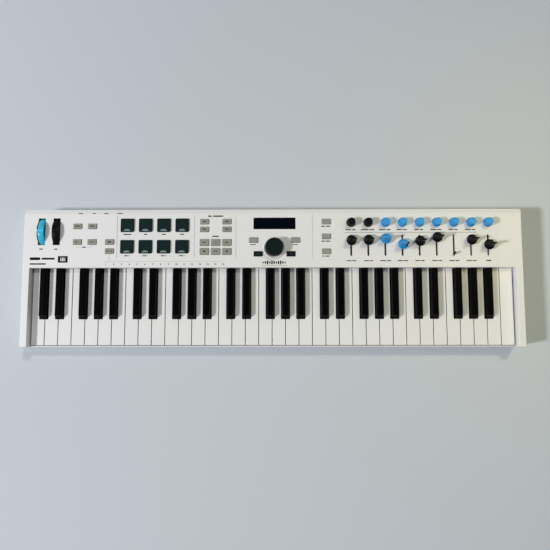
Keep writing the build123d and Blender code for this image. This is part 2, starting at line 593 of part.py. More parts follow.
# ---------------------------------------------------------------- wheels
BRACKET_PLATES = (-415.6, -395.2, -369.4)    # X of the three upright plates
BRACKET_FRONT, BRACKET_REAR = 56.0, 108.8
BRACKET_BOTTOM = 6.2
TIE_TOP = 20.0           # the low walls that tie the plates together clear the wheels
POT_THICKNESS = 8.0
SPRING_RADIUS = 6.0
SPRING_WIRE = 0.4        # radius of the wire

with BuildPart() as wheel_bracket:
    depth = BRACKET_REAR - BRACKET_FRONT
    middle = (BRACKET_REAR + BRACKET_FRONT) / 2
    with Locations(*[(x, middle, BRACKET_BOTTOM) for x in BRACKET_PLATES]):
        Box(2.0, depth, CASE_TOP - PANEL - BRACKET_BOTTOM, align=(Align.CENTER, Align.CENTER, Align.MIN))
    span = BRACKET_PLATES[2] - BRACKET_PLATES[0] + 2
    centre = (BRACKET_PLATES[2] + BRACKET_PLATES[0]) / 2
    with Locations((centre, middle, BRACKET_BOTTOM)):
        Box(span, depth, 1.2, align=(Align.CENTER, Align.CENTER, Align.MIN))
    with Locations((centre, BRACKET_FRONT, BRACKET_BOTTOM), (centre, BRACKET_REAR - 0.8, BRACKET_BOTTOM)):
        Box(span, 0.8, TIE_TOP - BRACKET_BOTTOM, align=(Align.CENTER, Align.MIN, Align.MIN))
    # The boss that the return spring sits on, and the axle bores.
    with Locations(Location((BRACKET_PLATES[0] + 1, WHEEL_Y, WHEEL_Z), (0, 90, 0))):
        Cylinder(SPRING_RADIUS - SPRING_WIRE - 0.5, 4.4, align=(Align.CENTER, Align.CENTER, Align.MIN))
    with Locations(*[Location((x, WHEEL_Y, WHEEL_Z), (0, 90, 0)) for x in BRACKET_PLATES]):
        Cylinder(SHAFT_BORE, 14, mode=Mode.SUBTRACT)
save(wheel_bracket.part, "wheel_bracket")

with BuildPart() as wheel_potentiometers:
    with Locations(*[Location((x + 1, WHEEL_Y, WHEEL_Z), (0, 90, 0)) for x in BRACKET_PLATES[1:]]):
        Cylinder(8.5, POT_THICKNESS, align=(Align.CENTER, Align.CENTER, Align.MIN))
    with Locations(*[Location((x + 3.0, WHEEL_Y, WHEEL_Z), (0, 90, 0)) for x in BRACKET_PLATES[1:]]):
        Cylinder(SHAFT_BORE, 6, mode=Mode.SUBTRACT)
save(wheel_potentiometers.part, "wheel_potentiometers")


def control_wheel(x, axle_left, axle_right):
    """A wheel on its own axle, turning about X, with a finger notch and grip lines in its rim."""
    half = WHEEL_WIDTH / 2
    with BuildPart() as wheel:
        with BuildSketch():
            with BuildLine():
                Polyline((x - half, 20), (x - half, WHEEL_RADIUS - 1.2))
                ThreePointArc((x - half, WHEEL_RADIUS - 1.2), (x, WHEEL_RADIUS),
                              (x + half, WHEEL_RADIUS - 1.2))
                Polyline((x + half, WHEEL_RADIUS - 1.2), (x + half, 20), (x + 1.5, 18.5), (x + 1.5, 8),
                         (x + half - 1, 7), (x + half - 1, SHAFT), (axle_right, SHAFT), (axle_right, 0),
                         (axle_left, 0), (axle_left, SHAFT), (x - half + 1, SHAFT), (x - half + 1, 7),
                         (x - 1.5, 8), (x - 1.5, 18.5), (x - half, 20))
            make_face()
        revolve(axis=Axis.X)
        with Locations(Location((x, 0, WHEEL_RADIUS + 4.2), (0, 90, 0))):
            Cylinder(6.0, WHEEL_WIDTH + 2, mode=Mode.SUBTRACT)
        for angle in [side * (26 + 9 * n) for side in (-1, 1) for n in range(5)]:
            spoke = Location((x, 0, 0), (angle, 0, 0))
            with Locations(spoke * Location((0, 0, WHEEL_RADIUS + 0.25), (0, 90, 0))):
                Cylinder(0.75, WHEEL_WIDTH + 2, mode=Mode.SUBTRACT)
    return wheel.part.moved(Location((0, WHEEL_Y, WHEEL_Z)))


AXLE_REACH = 4.5         # how far an axle passes its bracket plate, into the potentiometer
save(control_wheel(WHEEL_X[0], BRACKET_PLATES[0] - 1, BRACKET_PLATES[1] + AXLE_REACH), "pitch_wheel")
save(control_wheel(WHEEL_X[1], WHEEL_X[1] - WHEEL_WIDTH / 2, BRACKET_PLATES[2] + AXLE_REACH), "mod_wheel")

with BuildPart() as pitch_spring:
    # A coil round the axle brings the pitch wheel back to its centre.
    with BuildLine():
        coil = Helix(pitch=1.05, height=3.6, radius=SPRING_RADIUS, direction=(1, 0, 0),
                     center=(WHEEL_X[0] - WHEEL_WIDTH / 2 - 4.5, WHEEL_Y, WHEEL_Z))
    with BuildSketch(Plane(origin=coil @ 0, z_dir=coil % 0)):
        Circle(SPRING_WIRE)
    sweep(path=coil)
save(pitch_spring.part, "pitch_spring")

# ---------------------------------------------------------------- knobs
KNOB_BOTTOM, KNOB_TOP = 50.9, 64.0
with BuildPart() as knob_master:
    with BuildSketch(Plane.XZ):
        with BuildLine():
            Polyline((SHAFT_BORE, KNOB_BOTTOM), (7.6, KNOB_BOTTOM), (8.0, KNOB_BOTTOM + 0.4),
                     (8.0, KNOB_BOTTOM + 1.6), (7.0, KNOB_BOTTOM + 2.4), (6.4, KNOB_TOP - 0.9))
            RadiusArc((6.4, KNOB_TOP - 0.9), (5.5, KNOB_TOP), -0.9)
            Polyline((5.5, KNOB_TOP), (4.6, KNOB_TOP), (4.2, KNOB_TOP - 0.35), (0, KNOB_TOP - 0.35),
                     (0, KNOB_SHAFT_TOP + 0.4), (SHAFT_BORE, KNOB_SHAFT_TOP + 0.4),
                     (SHAFT_BORE, KNOB_BOTTOM))
        make_face()
    revolve(axis=Axis.Z)
    with BuildSketch(Plane.XY.offset(KNOB_BOTTOM + 2.4)):
        with PolarLocations(7.25, 20):
            Circle(0.62)
    extrude(amount=KNOB_TOP, mode=Mode.SUBTRACT)

for number in range(1, 10):
    with BuildPart() as knob:
        with Locations((control_x(number), KNOB_Y, 0)):
            add(knob_master.part)
        with Locations((control_x(number), KNOB_Y, BOARD_TOP + 3)):
            Cylinder(SHAFT, KNOB_SHAFT_TOP - BOARD_TOP - 3, align=(Align.CENTER, Align.CENTER, Align.MIN))
    save(knob.part, f"knob_{number}")

# ---------------------------------------------------------------- main dial
DIAL_BOTTOM, DIAL_TOP = 51.6, 66.5
DIAL_SHAFT_TOP = 62.0
with BuildPart() as main_encoder_shaft:
    with Locations((DIAL_X, DIAL_Y, BOARD_TOP + 3.2)):
        Cylinder(SHAFT, DIAL_SHAFT_TOP - BOARD_TOP - 3.2, align=(Align.CENTER, Align.CENTER, Align.MIN))
    chamfer(main_encoder_shaft.faces().sort_by(Axis.Z)[-1].edges(), length=0.4)
save(main_encoder_shaft.part, "main_encoder_shaft")

with BuildPart() as main_dial:
    with BuildSketch(Plane.XZ.offset(-DIAL_Y)):
        with BuildLine():
            edge = DIAL_X + DIAL_RADIUS
            Polyline((DIAL_X + SHAFT_BORE, DIAL_BOTTOM), (DIAL_X + 6, DIAL_BOTTOM),
                     (DIAL_X + 6, DIAL_TOP - 4), (edge - 2, DIAL_TOP - 4), (edge - 2, DIAL_BOTTOM),
                     (edge, DIAL_BOTTOM), (edge - 0.3, DIAL_TOP - 1.4))
            RadiusArc((edge - 0.3, DIAL_TOP - 1.4), (edge - 1.7, DIAL_TOP), -1.4)
            Polyline((edge - 1.7, DIAL_TOP), (edge - 2.6, DIAL_TOP), (edge - 3.1, DIAL_TOP - 0.5),
                     (DIAL_X, DIAL_TOP - 0.5), (DIAL_X, DIAL_SHAFT_TOP + 0.5),
                     (DIAL_X + SHAFT_BORE, DIAL_SHAFT_TOP + 0.5), (DIAL_X + SHAFT_BORE, DIAL_BOTTOM))
        make_face()
    revolve(axis=Axis((DIAL_X, DIAL_Y, 0), (0, 0, 1)))
save(main_dial.part, "main_dial")

# ---------------------------------------------------------------- faders
LEVER = (1.2, 4.0)
LEVER_BOTTOM, LEVER_TOP = 42.0, 60.0
CAP_BOTTOM, CAP_TOP = 51.2, 75.0
CAP_RADIUS = 8.9
# Sections of the cap above its skirt, as (height, half width, half thickness).
FIN = ((57.6, 8.9, 8.9), (60.2, 8.6, 5.4), (64.0, 8.2, 3.2), (69.0, 7.8, 2.2), (CAP_TOP, 7.4, 1.6))

with BuildPart() as cap_master:
    with BuildSketch(Plane.XZ):
        with BuildLine():
            Polyline((0, CAP_BOTTOM), (6.6, CAP_BOTTOM), (CAP_RADIUS, 55.6), (CAP_RADIUS, FIN[0][0]),
                     (0, FIN[0][0]), close=True)
        make_face()
    revolve(axis=Axis.Z)
    for height, half_width, half_thickness in FIN:
        with BuildSketch(Plane.XY.offset(height)):
            Ellipse(half_width, half_thickness)
    loft()
    with Locations((0, 0, CAP_BOTTOM)):
        Box(LEVER[0] + 0.2, LEVER[1] + 0.2, LEVER_TOP - CAP_BOTTOM + 0.2,
            align=(Align.CENTER, Align.CENTER, Align.MIN), mode=Mode.SUBTRACT)

for number, rest in enumerate(FADER_REST, start=1):
    with BuildPart() as fader:
        with Locations((control_x(number), rest, LEVER_BOTTOM)):
            Box(*LEVER, LEVER_TOP - LEVER_BOTTOM, align=(Align.CENTER, Align.CENTER, Align.MIN))
        if number != BARE_FADER:
            with Locations((control_x(number), rest, 0)):
                add(cap_master.part)
    save(fader.part, f"fader_{number}")

# ---------------------------------------------------------------- pads and buttons
PAD_TOP = 53.0
PLUNGER_BOTTOM = 42.6
FLANGE = (45.4, 46.4)    # the flange that keeps a pad or button in the panel

with BuildPart() as pads:
    with BuildSketch(Plane.XY.offset(PLUNGER_BOTTOM - 1.2)):
        with Locations(*[(x, y) for x in PAD_X for y in PAD_Y]):
            RectangleRounded(PAD_SIZE - 4, PAD_SIZE - 4, 2)
    extrude(amount=FLANGE[0] - PLUNGER_BOTTOM + 1.2)
    with BuildSketch(Plane.XY.offset(FLANGE[0])):
        with Locations(*[(x, y) for x in PAD_X for y in PAD_Y]):
            RectangleRounded(PAD_SIZE + 2.2, PAD_SIZE + 2.2, 2.5)
    extrude(amount=FLANGE[1] - FLANGE[0])
    with BuildSketch(Plane.XY.offset(FLANGE[1])):
        with Locations(*[(x, y) for x in PAD_X for y in PAD_Y]):
            RectangleRounded(PAD_SIZE, PAD_SIZE, 2)
    extrude(amount=PAD_TOP - FLANGE[1])
    fillet(pads.faces().group_by(Axis.Z)[-1].edges(), radius=1.0)
save(pads.part, "pads")


def button_group(places, size, height):
    """A cluster of identical buttons, each with a flange under the panel and a plunger over its switch."""
    with BuildPart() as group:
        with BuildSketch(Plane.XY.offset(PLUNGER_BOTTOM)):
            with Locations(*places):
                Rectangle(4, 4)
        extrude(amount=FLANGE[0] - PLUNGER_BOTTOM)
        with BuildSketch(Plane.XY.offset(FLANGE[0])):
            with Locations(*places):
                RectangleRounded(size[0] + 1.6, size[1] + 1.6, 1.2)
        extrude(amount=FLANGE[1] - FLANGE[0])
        with BuildSketch(Plane.XY.offset(FLANGE[1])):
            with Locations(*places):
                RectangleRounded(*size, 1.1)
        extrude(amount=height - FLANGE[1])
        fillet(group.faces().group_by(Axis.Z)[-1].edges(), radius=0.6)
    return group.part


BUTTON_TOP = 51.6
save(button_group(LEFT_BUTTONS, SMALL_BUTTON, BUTTON_TOP), "left_buttons")
save(button_group(COMMAND_BUTTONS, SMALL_BUTTON, BUTTON_TOP), "command_buttons")
save(button_group(TRANSPORT_BUTTONS, TALL_BUTTON, BUTTON_TOP), "transport_buttons")
save(button_group(MENU_BUTTONS, SMALL_BUTTON, BUTTON_TOP), "menu_buttons")
save(button_group(ARROW_BUTTONS, ARROW_BUTTON, BUTTON_TOP), "arrow_buttons")
save(button_group(PART_BUTTONS, SMALL_BUTTON, BUTTON_TOP), "part_buttons")
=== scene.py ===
import math

import bmesh
import bpy
from mathutils import Matrix, Vector


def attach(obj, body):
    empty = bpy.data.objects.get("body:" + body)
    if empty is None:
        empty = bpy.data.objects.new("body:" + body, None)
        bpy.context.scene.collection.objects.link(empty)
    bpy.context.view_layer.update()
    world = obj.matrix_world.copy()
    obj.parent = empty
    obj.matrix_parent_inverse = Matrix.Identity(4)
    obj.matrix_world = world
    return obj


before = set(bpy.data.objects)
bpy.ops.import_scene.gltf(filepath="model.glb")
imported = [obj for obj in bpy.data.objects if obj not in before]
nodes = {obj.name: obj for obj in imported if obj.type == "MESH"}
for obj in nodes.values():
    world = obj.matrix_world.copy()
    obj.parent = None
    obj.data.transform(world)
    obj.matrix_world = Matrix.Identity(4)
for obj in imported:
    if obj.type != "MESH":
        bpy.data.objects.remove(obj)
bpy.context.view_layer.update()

MM = 0.001
scene = bpy.context.scene

# ---------------------------------------------------------------- sizes shared with the frame, in millimetres
CASE_TOP = 50.0
SLOPE_START = 112.0      # the panel slopes down from here to the back edge
SLOPE = 3.0 / 8.0
BUTTON_TOP = 51.6
PAD_TOP = 53.0
INK = 0.05               # thickness of printed ink
INK_DEPTH = 0.02         # how far it is sunk into the surface under it


# ---------------------------------------------------------------- materials
RELIEF_DEPTH = 0.0002    # metres
LIGHT_REACH = 0.002      # metres light travels inside silicone
STREAK_SCALE = 0.06      # noise scale along the streaks of brushed metal
SPECK_RADIUS = 0.18      # of the distance between specks


def linear(value):
    """One sRGB channel, 0 to 255, as linear light."""
    value /= 255.0
    return value / 12.92 if value <= 0.04045 else ((value + 0.055) / 1.055) ** 2.4


def colour(red, green, blue):
    return (linear(red), linear(green), linear(blue), 1.0)


def surface(name, base, rough, *, drift=0.04, drift_scale=9.0, grain=900.0, bump=0.05, rough_drift=0.06,
            metal=0.0, coat=0.0, subsurface=0.0, specular=0.5, streak=False, speck=None):
    """A moulded or machined surface, all from noise.

    drift is how far the colour wanders, over patches set by drift_scale. grain is the scale of the fine
    texture, which shapes the gloss by rough_drift and the relief by bump. streak draws the noise out
    along X, and speck scatters small dots of a second colour.
    """
    mat = bpy.data.materials.new(name)
    mat.use_nodes = True
    tree = mat.node_tree
    tree.nodes.clear()
    out = tree.nodes.new("ShaderNodeOutputMaterial")
    bsdf = tree.nodes.new("ShaderNodeBsdfPrincipled")
    coords = tree.nodes.new("ShaderNodeTexCoord")
    tree.links.new(bsdf.outputs["BSDF"], out.inputs["Surface"])

    mapping = tree.nodes.new("ShaderNodeMapping")
    if streak:
        mapping.inputs["Scale"].default_value = (STREAK_SCALE, 1.0, 1.0)
    tree.links.new(coords.outputs["Object"], mapping.inputs["Vector"])

    broad = tree.nodes.new("ShaderNodeTexNoise")
    broad.inputs["Scale"].default_value = drift_scale
    broad.inputs["Detail"].default_value = 3.0
    tree.links.new(mapping.outputs["Vector"], broad.inputs["Vector"])

    ramp = tree.nodes.new("ShaderNodeValToRGB")
    ramp.color_ramp.elements[0].position = 0.3
    ramp.color_ramp.elements[1].position = 0.7
    ramp.color_ramp.elements[0].color = tuple(c * (1.0 - drift) for c in base[:3]) + (1.0,)
    ramp.color_ramp.elements[1].color = tuple(min(1.0, c * (1.0 + drift)) for c in base[:3]) + (1.0,)
    tree.links.new(broad.outputs["Fac"], ramp.inputs["Fac"])
    tint = ramp.outputs["Color"]

    if speck is not None:
        spots = tree.nodes.new("ShaderNodeTexVoronoi")
        spots.inputs["Scale"].default_value = grain * 0.5
        tree.links.new(mapping.outputs["Vector"], spots.inputs["Vector"])
        pick = tree.nodes.new("ShaderNodeMath")
        pick.operation = "LESS_THAN"
        pick.inputs[1].default_value = SPECK_RADIUS
        tree.links.new(spots.outputs["Distance"], pick.inputs[0])
        mix = tree.nodes.new("ShaderNodeMix")
        mix.data_type = "RGBA"
        tree.links.new(pick.outputs["Value"], mix.inputs["Factor"])
        tree.links.new(tint, mix.inputs["A"])
        mix.inputs["B"].default_value = speck
        tint = mix.outputs["Result"]
    tree.links.new(tint, bsdf.inputs["Base Color"])

    fine = tree.nodes.new("ShaderNodeTexNoise")
    fine.inputs["Scale"].default_value = grain
    fine.inputs["Detail"].default_value = 2.0
    tree.links.new(mapping.outputs["Vector"], fine.inputs["Vector"])

    gloss = tree.nodes.new("ShaderNodeMapRange")
    gloss.inputs["To Min"].default_value = max(0.02, rough - rough_drift)
    gloss.inputs["To Max"].default_value = min(1.0, rough + rough_drift)
    tree.links.new(fine.outputs["Fac"], gloss.inputs["Value"])
    tree.links.new(gloss.outputs["Result"], bsdf.inputs["Roughness"])

    relief = tree.nodes.new("ShaderNodeBump")
    relief.inputs["Strength"].default_value = bump
    relief.inputs["Distance"].default_value = RELIEF_DEPTH
    tree.links.new(fine.outputs["Fac"], relief.inputs["Height"])
    tree.links.new(relief.outputs["Normal"], bsdf.inputs["Normal"])

    bsdf.inputs["Metallic"].default_value = metal
    bsdf.inputs["Specular IOR Level"].default_value = specular
    bsdf.inputs["Coat Weight"].default_value = coat
    if subsurface:
        bsdf.inputs["Subsurface Weight"].default_value = subsurface
        bsdf.inputs["Subsurface Scale"].default_value = LIGHT_REACH
    return mat


CASE_GRAIN = dict(drift=0.015, drift_scale=5.0, grain=1600.0, bump=0.12)
KEY_GRAIN = dict(drift_scale=14.0, grain=500.0, bump=0.02)
SOFT_TOUCH = dict(drift_scale=40.0, grain=1800.0, bump=0.2)
SILICONE_GRAIN = dict(drift_scale=60.0, grain=1400.0)
RUBBER_GRAIN = dict(drift_scale=60.0, grain=1500.0)
GLASS_GRAIN = dict(bump=0.0, specular=0.1)
METAL_GRAIN = dict(drift=0.05, drift_scale=80.0, grain=600.0, bump=0.1, metal=1.0, streak=True)
INK_GRAIN = dict(drift_scale=200.0, grain=2500.0, bump=0.1)

PANEL = surface("panel_plastic", colour(231, 231, 229), 0.48, **CASE_GRAIN)
BASE = surface("base_plastic", colour(224, 224, 222), 0.52, **CASE_GRAIN)
WHITE_KEY = surface("white_key_plastic", colour(236, 236, 234), 0.24, drift=0.012, coat=0.25, **KEY_GRAIN)
# Painted shade: a darker grey for the sides of the white keys, in place of the shade in the gaps between
# them.
KEY_GAP_SHADE = surface("white_key_gap_shade", colour(150, 149, 146), 0.4, drift=0.03, **KEY_GRAIN)
BLACK_KEY = surface("black_key_plastic", colour(2, 2, 4), 0.38, drift=0.12, drift_scale=30.0,
                    grain=1500.0, bump=0.18, specular=0.04)
KNOB_BLACK = surface("control_black", colour(7, 8, 10), 0.46, drift=0.12, specular=0.1, **SOFT_TOUCH)
DIAL_BLACK = surface("dial_black", colour(10, 26, 27), 0.46, drift=0.12, specular=0.1, **SOFT_TOUCH)
KNOB_BLUE = surface("control_blue", colour(14, 150, 222), 0.42, drift=0.05, **SOFT_TOUCH)
WHEEL_CYAN = surface("wheel_cyan", colour(50, 186, 222), 0.42, drift=0.05, **SOFT_TOUCH)
PAD = surface("pad_silicone", colour(14, 36, 35), 0.62, drift=0.12, drift_scale=30.0, grain=1400.0,
              bump=0.25, specular=0.1)
# A pale silicone for the half ellipses near the front edge of each pad.
PAD_PALE_MARK = surface("pad_window", colour(120, 138, 136), 0.5, drift=0.08, bump=0.1, subsurface=0.3,
                     **SILICONE_GRAIN)
BUTTON = surface("button_silicone", colour(146, 149, 138), 0.55, drift=0.04, bump=0.15, subsurface=0.25,
                 **SILICONE_GRAIN)
WINDOW = surface("window_glass", colour(1, 3, 10), 0.07, drift=0.1, drift_scale=10.0, grain=60.0,
                 rough_drift=0.02, **GLASS_GRAIN)
DISPLAY = surface("display_glass", colour(1, 4, 15), 0.12, drift=0.2, drift_scale=30.0, grain=300.0,
                  rough_drift=0.03, **GLASS_GRAIN)
FOOT = surface("foot_rubber", colour(30, 30, 31), 0.8, drift=0.1, bump=0.4, **RUBBER_GRAIN)
CONTACT = surface("contact_rubber", colour(150, 150, 152), 0.7, drift=0.05, bump=0.3, **RUBBER_GRAIN)
BOARD = surface("circuit_board", colour(18, 74, 44), 0.35, drift=0.1, drift_scale=60.0, grain=700.0,
                bump=0.1, speck=colour(196, 178, 110))
TIN = surface("component_metal", colour(188, 188, 190), 0.34, **METAL_GRAIN)
STEEL = surface("plated_steel", colour(200, 200, 202), 0.26, **METAL_GRAIN)
DARK_PART = surface("black_plastic", colour(22, 22, 24), 0.5, drift=0.1, drift_scale=30.0, grain=1500.0,
                    bump=0.2)
DARK_METAL = surface("dark_metal", colour(10, 10, 11), 0.45, drift=0.1, drift_scale=60.0, grain=800.0,
                     bump=0.1, metal=0.6)
INK_DARK = surface("ink_dark", colour(14, 14, 16), 0.6, drift=0.15, specular=0.1, **INK_GRAIN)
INK_GREY = surface("ink_grey", colour(164, 163, 160), 0.6, drift=0.08, **INK_GRAIN)
INK_BUTTON = surface("ink_button", colour(44, 45, 36), 0.6, drift=0.1, **INK_GRAIN)
INK_PALE = surface("ink_pale", colour(226, 225, 221), 0.6, drift=0.05, **INK_GRAIN)
INK_DIM = surface("ink_dim", colour(62, 66, 66), 0.6, drift=0.1, **INK_GRAIN)


def finish(material, *names):
    """Gives nodes of the frame their material."""
    for name in names:
        mesh = nodes[name].data
        mesh.materials.clear()
        mesh.materials.append(material)


SHARPS = [f"{n}_sharp_keys" for n in "cdfga"]
NATURALS = [f"{n}_keys" for n in "cdefgab"]
finish(PANEL, "top_case")
finish(BASE, "bottom_case")
finish(WHITE_KEY, *NATURALS)
finish(BLACK_KEY, *SHARPS)
finish(DIAL_BLACK, "main_dial", "arrow_buttons")
finish(KNOB_BLACK, "knob_1", "knob_2", "mod_wheel",
       *[f"fader_{n}" for n in (1, 2, 4, 5, 6, 7, 8, 9)])
finish(KNOB_BLUE, "fader_3", *[f"knob_{n}" for n in range(3, 10)])
finish(WHEEL_CYAN, "pitch_wheel")
finish(PAD, "pads")
finish(BUTTON, "left_buttons", "command_buttons", "transport_buttons", "menu_buttons", "part_buttons")
finish(WINDOW, "display_window")
finish(FOOT, "rubber_feet")
finish(CONTACT, "rubber_contact_strips")
finish(BOARD, "main_board", "key_contact_board")
finish(TIN, "encoder_bodies", "wheel_potentiometers", "display_module")
finish(DARK_METAL, "slide_potentiometers")
finish(STEEL, "screws", "key_hinge_rod", "usb_socket", "pitch_spring", "main_encoder_shaft")
finish(DARK_PART, "key_chassis", "wheel_bracket", "pedal_jack", "midi_socket")


# ---------------------------------------------------------------- printed graphics
def panel_height(x, y):
    """The panel's surface, which slopes down along the back edge."""
    return CASE_TOP if y <= SLOPE_START else CASE_TOP - SLOPE * (y - SLOPE_START)


class Print:
    """Flat artwork on a surface, built up shape by shape in millimetres."""

    CORNER_STEPS = 6         # per quarter turn of a round corner
    WORD_GAP = 0.75          # between words, as a part of their height
    TIP, TAIL = 0.58, 0.42   # how far a triangle reaches before and behind its place
    NUMERAL_WEIGHT = 0.035   # stroke thickening, as a part of a numeral's size
    CLOSE = 1e-6             # points nearer than this are one point

    def __init__(self, name, body, material, slot, height):
        self.name, self.body, self.material, self.slot = name, body, material, slot
        self.height = height if callable(height) else (lambda x, y: height)
        self.mesh = bmesh.new()

    def shape(self, outline):
        """A slab over a closed outline, listed anticlockwise."""
        low = [self.mesh.verts.new((x, y, self.height(x, y) - INK_DEPTH)) for x, y in outline]
        top = [self.mesh.verts.new((x, y, self.height(x, y) + INK)) for x, y in outline]
        self.mesh.faces.new(top)
        self.mesh.faces.new(low[::-1])
        for n in range(len(outline)):
            m = (n + 1) % len(outline)
            self.mesh.faces.new((low[n], low[m], top[m], top[n]))

    def bar(self, x, y, width, height):
        """A rectangle."""
        w, h = width / 2, height / 2
        self.shape([(x - w, y - h), (x + w, y - h), (x + w, y + h), (x - w, y + h)])

    def pill(self, x, y, width, height):
        """A bar with round ends, standing in for a word."""
        self.panel(x, y, width, height, min(width, height) / 2)

    def panel(self, x, y, width, height, radius):
        """A rectangle with round corners."""
        reach_x, reach_y = width / 2 - radius, height / 2 - radius
        outline = []
        for quarter, (side_x, side_y) in enumerate(((1, -1), (1, 1), (-1, 1), (-1, -1))):
            for n in range(self.CORNER_STEPS + 1):
                a = math.radians(-90 + 90 * quarter + 90 * n / self.CORNER_STEPS)
                point = (x + side_x * reach_x + radius * math.cos(a),
                         y + side_y * reach_y + radius * math.sin(a))
                if not outline or math.dist(point, outline[-1]) > self.CLOSE:
                    outline.append(point)
        if math.dist(outline[0], outline[-1]) < self.CLOSE:
            outline.pop()
        self.shape(outline)

    def words(self, x, y, height, *widths):
        """A caption of several words, centred on x."""
        gap = height * self.WORD_GAP
        left = x - (sum(widths) + gap * (len(widths) - 1)) / 2
        for width in widths:
            self.pill(left + width / 2, y, width, height)
            left += width + gap

    def disc(self, x, y, radius, steps=24):
        """A full circle."""
        angles = [2 * math.pi * n / steps for n in range(steps)]
        self.shape([(x + radius * math.cos(a), y + radius * math.sin(a)) for a in angles])

    def triangle(self, x, y, size, facing=1):
        """A triangle pointing along X, to the right with facing 1 and to the left with -1."""
        tip, tail = x + facing * size * self.TIP, x - facing * size * self.TAIL
        points = [(tail, y - size / 2), (tip, y), (tail, y + size / 2)]
        self.shape(points if facing > 0 else points[::-1])

    def arc(self, x, y, radius, width, start, end, steps=14):
        """Part of a ring, from one angle to another in degrees."""
        angles = [math.radians(start + (end - start) * n / steps) for n in range(steps + 1)]
        outer, inner = radius + width / 2, radius - width / 2
        ring = [(outer, a) for a in angles] + [(inner, a) for a in reversed(angles)]
        self.shape([(x + r * math.cos(a), y + r * math.sin(a)) for r, a in ring])

    def plus(self, x, y, size, width):
        """A plus sign."""
        s, w = size / 2, width / 2
        corners = [(s, -w), (s, w), (w, w), (w, s), (-w, s), (-w, w),
                   (-s, w), (-s, -w), (-w, -w), (-w, -s), (w, -s), (w, -w)]
        self.shape([(x + dx, y + dy) for dx, dy in corners])

    def number(self, x, y, value, size):
        """A numeral in the plain built-in face."""
        curve = bpy.data.curves.new("numeral", "FONT")
        curve.body = str(value)
        curve.size = size
        curve.align_x = "CENTER"
        curve.align_y = "CENTER"
        curve.extrude = INK / 2
        curve.offset = size * self.NUMERAL_WEIGHT
        curve.resolution_u = 3
        holder = bpy.data.objects.new("numeral", curve)
        scene.collection.objects.link(holder)
        bpy.context.view_layer.update()
        graph = bpy.context.evaluated_depsgraph_get()
        flat = bpy.data.meshes.new_from_object(holder.evaluated_get(graph))
        flat.transform(Matrix.Translation(Vector((x, y, self.height(x, y) + INK / 2))))
        self.mesh.from_mesh(flat)
        bpy.data.objects.remove(holder)
        bpy.data.meshes.remove(flat)
        bpy.data.curves.remove(curve)

    def done(self):
        """Turns the artwork into one piece that rides on its body."""
        mesh = bpy.data.meshes.new(self.name)
        self.mesh.to_mesh(mesh)
        self.mesh.free()
        mesh.transform(Matrix.Scale(MM, 4))
        mesh.materials.append(self.material)
        piece = bpy.data.objects.new(self.name, mesh)
        scene.collection.objects.link(piece)
        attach(piece, self.body)
        return piece


# Places on the panel, in millimetres.
CONTROLS = [137.8 + 29.75 * n for n in range(9)]       # the columns of knobs and faders
PAD_X = (-253.3, -221.3, -189.3, -157.3)
PAD_Y = (91.7, 53.8)
SOCKET_X = (-336.2, -312.6, -291.2, -267.0)
TRANSPORT_X = (-118.1, -98.5, -78.9)
TRANSPORT_Y = (61.0, 45.4)
COMMAND_Y = (98.0, 84.4)
MODE_X = -284.0                                        # the two buttons beside the pads
MODE_Y = (62.3, 46.2)
OCTAVE_Y = 62.3
OCTAVE_RULE = 53.2
BADGE = (-365.0, 31.8)
CENTRE_X = 3.6

# Captions are plain bars, one for each word.
dark = Print("panel_captions", "case", INK_DARK, "printed_ink", panel_height)
# Along the back edge, over the sockets.
for x, width in zip(SOCKET_X, (8.0, 6.2, 8.2, 10.0)):
    dark.pill(x, 113.0, width, 1.5)
# Under the wheels, and under the octave buttons.
for x, y, width in ((-403.8, 50.0, 6.4), (-377.8, 49.8, 6.0), (-328.6, OCTAVE_RULE, 6.4)):
    dark.pill(x, y, width, 1.8)
# Under the two rows of pads.
for x, width in zip(PAD_X, (14.0, 6.4, 7.2, 7.6)):
    dark.pill(x, 75.6, width, 1.7)
for x, width in zip(PAD_X, (6.4, 6.4, 6.0, 6.4)):
    dark.words(x, 37.9, 1.7, width, 1.7)
# Over the command buttons and the transport buttons.
dark.words(-98.8, 107.7, 2.3, 6.6, 18.6)
dark.pill(-98.8, 71.9, 11.6, 2.0)
# Under the menu buttons and the part buttons.
for x, y, width in ((-33.1, 57.2, 10.4), (40.4, 57.1, 9.4)):
    dark.pill(x, y, width, 1.2)
for y, first, second in ((89.3, 6.4, 8.2), (63.0, 6.4, 8.2), (36.8, 4.0, 8.0)):
    dark.words(93.8, y, 1.7, first, second)
# Under the knobs and under the faders.
KNOB_WORDS = ((10.0, 6.4), (13.6, 8.6), (11.6, 7.6), (9.6, 7.6), (8.0, 6.0), (10.6, 7.6), (9.0, 6.0),
              (10.0, 7.2))
FADER_WORDS = ((8.6, 6.6), (8.6, 5.6), (10.6, 7.0), (9.0, 8.0), (8.6, 6.4), (9.4, 6.8), (9.4, 6.8),
               (9.4, 7.0))
for x, (first, second) in zip(CONTROLS, KNOB_WORDS):
    dark.words(x - 0.8, 83.1, 1.7, first, second)
for x, (first, second) in zip(CONTROLS, FADER_WORDS):
    dark.words(x, 28.5, 1.6, first, second)
dark.pill(CONTROLS[8], 28.5, 8.6, 1.9)
# Channel numbers over the keys.
for n in range(16):
    dark.number(-289.4 + 13.62 * n, 22.8, n + 1, 3.9)
# A plain device mark: three bars and a badge that holds a small keyboard.
for x, y, width, height in ((-413.6, 33.0, 19.0, 4.8), (-390.6, 33.0, 23.0, 3.4), (-408.5, 23.8, 28.4, 2.4)):
    dark.pill(x, y, width, height)
dark.panel(*BADGE, 17.2, 11.6, 1.4)
# A plain centre mark: a sound level drawn as upright bars.
for n, size in enumerate((3.0, 4.6, 6.6, 4.0, 7.0, 5.2, 3.6, 6.0, 6.8, 4.4, 3.0)):
    dark.pill(CENTRE_X + 3.8 * (n - 5), 25.7, 2.5, size)
dark.done()

lines = Print("panel_lines", "case", INK_GREY, "printed_ink", panel_height)
